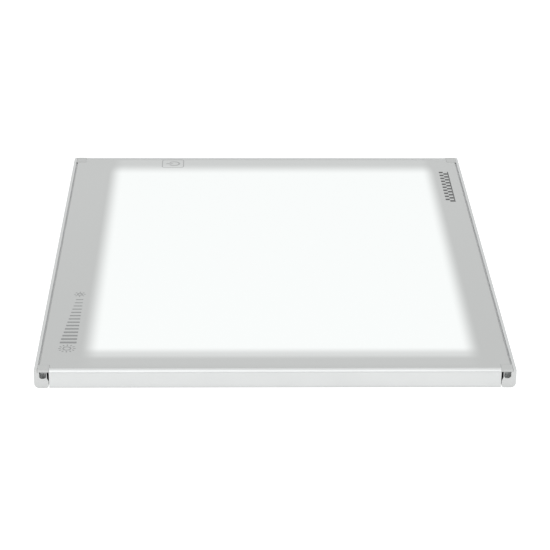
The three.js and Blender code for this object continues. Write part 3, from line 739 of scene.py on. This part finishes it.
def fine_control_board():
    """The dimmer board with its parts as they look: chips with legs, a wound inductor, ceramic
    capacitors, resistors with tinned ends and an open row connector."""
    low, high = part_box("control_board")
    board_thickness = 1.2 * MM
    top = low.z + board_thickness
    work = bmesh.new()
    green, silver, black, core, wound, tan, white = range(7)

    # All sizes given to the three functions below are in millimetres. in_x runs to the right from the
    # board's left edge, back_y to the front from its rear edge, and lift up from its top.

    def part(in_x, back_y, width, length, tall, look, edge=0.0, lift=0.0):
        x = low.x + in_x * MM
        rear = high.y - back_y * MM
        corner = (x, rear - length * MM, top + lift * MM)
        far = (x + width * MM, rear, top + (lift + tall) * MM)
        return add_box(work, corner, far, look, edge * MM)

    def chip(in_x, back_y, width, length, tall, legs):
        part(in_x + 0.55, back_y, width - 1.1, length, tall - 0.1, black, 0.08, 0.1)
        step = length / legs
        for i in range(legs):
            at = back_y + step * (i + 0.5) - 0.2
            for start in (in_x, in_x + width - 0.6):
                part(start, at, 0.6, 0.4, 0.12, silver)
            for start in (in_x + 0.4, in_x + width - 0.6):
                part(start, at, 0.2, 0.4, tall * 0.5, silver)

    def two_ended(in_x, back_y, width, length, tall, look):
        part(in_x + 0.25, back_y + 0.03, width - 0.5, length - 0.06, tall - 0.03, look, 0.03)
        for start in (in_x, in_x + width - 0.3):
            part(start, back_y, 0.3, length, tall, silver, 0.04)

    add_box(work, low, (high.x, high.y, top), green, 0.08 * MM)
    part(4, 12, 6, 6, 0.5, core, 0.1)
    drum = Vector((low.x + 7 * MM, high.y - 15 * MM, top + 0.5 * MM))
    turns = 6
    wire_from, wire_to, wire_radius = 0.2 * MM, 1.4 * MM, 2.5 * MM
    gauge = (wire_to - wire_from) / turns
    winding = [(0, wire_from)]
    for i in range(turns):
        winding += rounding(gauge / 2, wire_radius, wire_from + gauge * (i + 0.5), -80, 80, 4)
    winding.append((0, wire_to))
    add_turned(work, winding, drum, 40, wound)
    disc_radius, disc_top, chamfer = 2.9 * MM, 1.7 * MM, 0.1 * MM
    disc = [
        (0, wire_to),
        (disc_radius, wire_to),
        (disc_radius, disc_top - chamfer),
        (disc_radius - chamfer, disc_top),
        (0, disc_top),
    ]
    add_turned(work, disc, drum, 40, core)
    chip(4, 23, 6, 5, 1, 5)
    chip(5.5, 48, 6, 4, 1, 4)
    two_ended(1.5, 33, 3.2, 2.5, 1.4, tan)
    two_ended(7.5, 33, 3.2, 2.5, 1.4, tan)
    two_ended(5, 60, 3, 1.6, 0.8, black)
    for i in range(6):
        two_ended(1.2, 46 + 3.2 * i, 1.6, 0.9, 0.5, black)
    for i in range(5):
        part(3 + 1.9 * i, 84, 1.1, 1.1, 0.05, silver)
    ways = 7
    plug_at = 3.8
    plug_width = 9.6
    plug_length = 5.5
    skin = 0.35
    wall = 0.3
    way = (plug_width - wall) / ways
    part(plug_at, 0, plug_width, plug_length, skin, white, 0.04)
    part(plug_at, 0, plug_width, plug_length, skin, white, 0.04, 2.0)
    part(plug_at, 4.9, plug_width, 0.6, 2.35, white, 0.04)
    for i in range(ways + 1):
        part(plug_at + way * i, 0.02, wall, 5.4, 2.3, white, 0, 0.02)
    for i in range(ways):
        part(plug_at + way * i + wall + 0.25, 0.8, way - wall - 0.5, 4.2, 0.5, silver, 0, 0.9)
    looks = [slot_looks["circuit_board"], tinned, epoxy, ferrite, enamelled, ceramic, nylon]
    stand_in("control_board_fitted", work, looks, "control_board")


all_screws()
round_feet()
for strip in ("led_strip_left", "led_strip_right"):
    fine_led_strip(strip)
fine_control_board()


# ---- Printed marks: thin ink on the sheet, with no lettering ----

_, sheet_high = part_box("top_sheet")
INK_SUNK = 0.02 * MM
INK_PROUD = 0.04 * MM
faint_ink = ink("faint_ink", (0.32, 0.325, 0.325))
pale_ink = ink("pale_ink", (0.22, 0.225, 0.225))
dark_ink = ink("dark_ink", (0.06, 0.062, 0.062))


def printed(name, loops, look):
    """Ink in the closed outlines given, as a thin solid. An outline inside another leaves a hole."""
    curve = bpy.data.curves.new(name + "_outline", "CURVE")
    curve.dimensions = "2D"
    curve.fill_mode = "BOTH"
    curve.extrude = (INK_SUNK + INK_PROUD) / 2
    for loop in loops:
        spline = curve.splines.new("POLY")
        spline.points.add(len(loop) - 1)
        for point, (x, y) in zip(spline.points, loop):
            point.co = (x, y, 0, 1)
        spline.use_cyclic_u = True
    drawn = bpy.data.objects.new(name + "_outline", curve)
    bpy.context.scene.collection.objects.link(drawn)
    mesh = bpy.data.meshes.new_from_object(drawn.evaluated_get(bpy.context.evaluated_depsgraph_get()))
    bpy.data.objects.remove(drawn)
    work = bmesh.new()
    work.from_mesh(mesh)
    bmesh.ops.remove_doubles(work, verts=work.verts, dist=SPLIT_CORNER)
    bmesh.ops.translate(work, verts=work.verts, vec=(0, 0, sheet_high.z + (INK_PROUD - INK_SUNK) / 2))
    bmesh.ops.recalc_face_normals(work, faces=work.faces)
    work.to_mesh(mesh)
    work.free()
    mesh.materials.clear()
    mesh.materials.append(look)
    piece = bpy.data.objects.new(name, mesh)
    bpy.context.scene.collection.objects.link(piece)
    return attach(piece, "root")


def arc(centre, radius, start, end, steps):
    """Points along an arc, with its angles in degrees."""
    turns = [math.radians(start + (end - start) * i / steps) for i in range(steps + 1)]
    return [(centre[0] + radius * math.cos(t), centre[1] + radius * math.sin(t)) for t in turns]


def rounded_box(low, high, radius):
    corners = [
        ((high[0] - radius, high[1] - radius), 0),
        ((low[0] + radius, high[1] - radius), 90),
        ((low[0] + radius, low[1] + radius), 180),
        ((high[0] - radius, low[1] + radius), 270),
    ]
    return [p for centre, start in corners for p in arc(centre, radius, start, start + 90, 8)]


def broken_ring(centre, radius, width, open_at, opening):
    """A ring with a gap centred on one angle."""
    start = open_at + opening / 2
    end = open_at + 360 - opening / 2
    outer = arc(centre, radius + width / 2, start, end, 40)
    inner = arc(centre, radius - width / 2, end, start, 40)
    return outer + inner


def box_outline(low, high):
    return [low, (high[0], low[1]), high, (low[0], high[1])]


def power_mark():
    """A touch symbol in a rounded frame near the rear edge: a broken ring with a bar, turned left."""
    side = 16 * MM
    low = (-76.5 * MM, cad_high.y - 20.6 * MM)
    high = (low[0] + side, low[1] + side)
    width = 0.6 * MM
    corner = 2.2 * MM
    inner_low = (low[0] + width, low[1] + width)
    inner_high = (high[0] - width, high[1] - width)
    printed(
        "mark_power_frame",
        [rounded_box(low, high, corner), rounded_box(inner_low, inner_high, corner - width)],
        faint_ink,
    )
    to_right = 0.8 * MM
    centre = ((low[0] + high[0]) / 2 + to_right, (low[1] + high[1]) / 2)
    stroke = 1.1 * MM
    ring = 3.8 * MM
    bar_far, bar_near = 5.6 * MM, 0.8 * MM
    bar_low = (centre[0] - bar_far, centre[1] - stroke / 2)
    bar_high = (centre[0] - bar_near, centre[1] + stroke / 2)
    printed(
        "mark_power_symbol",
        [broken_ring(centre, ring, stroke, 180, 70), box_outline(bar_low, bar_high)],
        faint_ink,
    )


def sun_loops(centre, radius, rays):
    """A ring with short rays round it."""
    width = 0.7 * MM
    sides = 32
    last = 360 - 360 / sides
    loops = [arc(centre, r, 0, last, sides - 1) for r in (radius, radius - width)]
    ray_from, ray_to = 1.4, 2
    for i in range(rays):
        turn = 2 * math.pi * i / rays
        along = Vector((math.cos(turn), math.sin(turn)))
        side = Vector((-along.y, along.x)) * width / 2
        start = Vector(centre) + along * radius * ray_from
        end = Vector(centre) + along * radius * ray_to
        loops.append([tuple(start - side), tuple(end - side), tuple(end + side), tuple(start + side)])
    return loops


def dimmer_mark():
    """Brightness steps along the left border: bars that grow taller and thicker to the front, between
    a large sun and a small one."""
    base = cad_low.x + 22.5 * MM
    near = cad_low.y + 36 * MM
    steps = 14
    pitch = 4.8 * MM
    least_tall, more_tall = 4.5 * MM, 5.5 * MM
    least_thick, more_thick = 0.9 * MM, 1.5 * MM
    loops = []
    for i in range(steps):
        grown = 1 - i / (steps - 1)
        tall = least_tall + more_tall * grown
        thick = least_thick + more_thick * grown
        start = near + i * pitch
        loops.append(box_outline((base - tall, start), (base, start + thick)))
    printed("mark_dimmer_steps", loops, pale_ink)
    rear = near + steps * pitch
    printed("mark_sun_large", sun_loops((base - 5.2 * MM, near - 7 * MM), 2.6 * MM, 12), pale_ink)
    printed("mark_sun_small", sun_loops((base - 2.6 * MM, rear + 3.6 * MM), 1.8 * MM, 8), pale_ink)


def scale_mark():
    """A scale bar by the right edge: two rows of alternating blocks on a base line, just clear of each
    other."""
    right = cad_high.x - 9.8 * MM
    front = cad_low.y + 263 * MM
    line = 0.7 * MM
    clear = 0.08 * MM
    tall = 3 * MM
    block = 2.9 * MM
    columns = 20
    loops = [box_outline((right - line, front), (right, front + columns * block))]
    for i in range(columns):
        inner = right - line - (i % 2) * tall
        start = front + i * block
        low = (inner - tall + clear, start + clear)
        high = (inner - clear, start + block - clear)
        loops.append(box_outline(low, high))
    printed("mark_scale_bar", loops, dark_ink)


power_mark()
dimmer_mark()
scale_mark()


# ---- Floor, light and camera ----


def white_floor():
    """A wide pale table, white to the camera. What it throws on the object is brightest in front, falls
    off to the rear and fades out under the pad. It is clear from below, but its upper face
    still keeps light from the underside of the pad, which renders dark."""
    s = Surface("studio_floor")
    front_strength, rear_strength, under_share = 0.86, 0.32, 0.15
    to_rear = s.ramp(s.axis("Y"), cad_low.y, cad_high.y, front_strength, rear_strength)
    past_side = s.calc("SUBTRACT", s.calc("ABSOLUTE", s.axis("X")), cad_high.x)
    past_end = s.calc("SUBTRACT", s.calc("ABSOLUTE", s.axis("Y")), cad_high.y)
    clear_of_pad = s.ramp(s.calc("MAXIMUM", past_side, past_end), -6 * MM, 5 * MM, under_share, 1)
    thrown = s.calc("MULTIPLY", to_rear, clear_of_pad)
    seen = s.add("ShaderNodeLightPath").outputs["Is Camera Ray"]
    glow = s.add("ShaderNodeEmission", {"Color": (1, 1, 1), "Strength": s.calc("MAXIMUM", thrown, seen)})
    paper = s.add("ShaderNodeBsdfDiffuse", {"Color": (0.30, 0.30, 0.30)})
    table = s.add("ShaderNodeAddShader", {0: paper.outputs[0], 1: glow.outputs[0]})
    clear = s.add("ShaderNodeBsdfTransparent")
    behind = s.add("ShaderNodeNewGeometry").outputs["Backfacing"]
    both = s.add("ShaderNodeMixShader", {0: behind, 1: table.outputs[0], 2: clear.outputs[0]})
    s.add("ShaderNodeOutputMaterial", {0: both.outputs[0]})
    work = bmesh.new()
    reach = 6
    bmesh.ops.create_circle(work, cap_ends=True, segments=96, radius=reach)
    mesh = bpy.data.meshes.new("floor")
    work.to_mesh(mesh)
    work.free()
    mesh.materials.append(s.material)
    floor = bpy.data.objects.new("floor", mesh)
    bpy.context.scene.collection.objects.link(floor)


def soft_lamp(name, place, size, power):
    """A round soft light at one place, aimed at the frame's origin."""
    lamp = bpy.data.lights.new(name, "AREA")
    lamp.shape = "DISK"
    lamp.size = size
    lamp.energy = power
    obj = bpy.data.objects.new(name, lamp)
    bpy.context.scene.collection.objects.link(obj)
    obj.location = place
    obj.rotation_euler = (-Vector(place)).to_track_quat("-Z", "Y").to_euler()


def room_light():
    """A white room: dimmer low down, so that edges turned away still show, and white to the camera."""
    world = bpy.data.worlds.new("studio")
    world.use_nodes = True
    nodes = world.node_tree.nodes
    links = world.node_tree.links
    background = nodes["Background"]
    direction = nodes.new("ShaderNodeTexCoord").outputs["Generated"]
    height = nodes.new("ShaderNodeSeparateXYZ")
    links.new(direction, height.inputs[0])
    glow = nodes.new("ShaderNodeMapRange")
    glow.interpolation_type = "SMOOTHSTEP"
    links.new(height.outputs["Z"], glow.inputs["Value"])
    low_height, high_height = 0.15, 0.75
    dimmest, brightest = 0.80, 1.05
    glow.inputs["From Min"].default_value = low_height
    glow.inputs["From Max"].default_value = high_height
    glow.inputs["To Min"].default_value = dimmest
    glow.inputs["To Max"].default_value = brightest
    seen = nodes.new("ShaderNodeLightPath").outputs["Is Camera Ray"]
    strength = nodes.new("ShaderNodeMath")
    strength.operation = "MAXIMUM"
    links.new(glow.outputs[0], strength.inputs[0])
    links.new(seen, strength.inputs[1])
    background.inputs[0].default_value = (1, 1, 1, 1)
    links.new(strength.outputs[0], background.inputs[1])
    bpy.context.scene.world = world


def studio():
    """The white room, one large soft light in front, and a plain view of the colours."""
    room_light()
    soft_lamp("front_softbox", place=(-0.35, -1.6, 1.7), size=2.6, power=10)
    bpy.context.scene.view_settings.view_transform = "Standard"


def camera():
    """A long lens a little above and in front, turned very slightly to the right."""
    place = Vector((-0.02563, -1.25962, 0.5546))
    focal_length = 135.95
    turn, down, lean = (math.radians(a) for a in (1.3053, 23.9228, 0.4973))
    ahead = Vector((math.sin(turn) * math.cos(down), math.cos(turn) * math.cos(down), -math.sin(down)))
    level = Vector((math.cos(turn), -math.sin(turn), 0))
    over = level.cross(ahead)
    right = level * math.cos(lean) + over * math.sin(lean)
    up = over * math.cos(lean) - level * math.sin(lean)
    data = bpy.data.cameras.new("camera")
    data.lens = focal_length
    data.clip_start = 0.05
    data.clip_end = 50
    obj = bpy.data.objects.new("camera", data)
    obj.matrix_world = Matrix.Translation(place) @ Matrix((right, up, -ahead)).transposed().to_4x4()
    bpy.context.scene.collection.objects.link(obj)
    bpy.context.scene.camera = obj


white_floor()
studio()
camera()
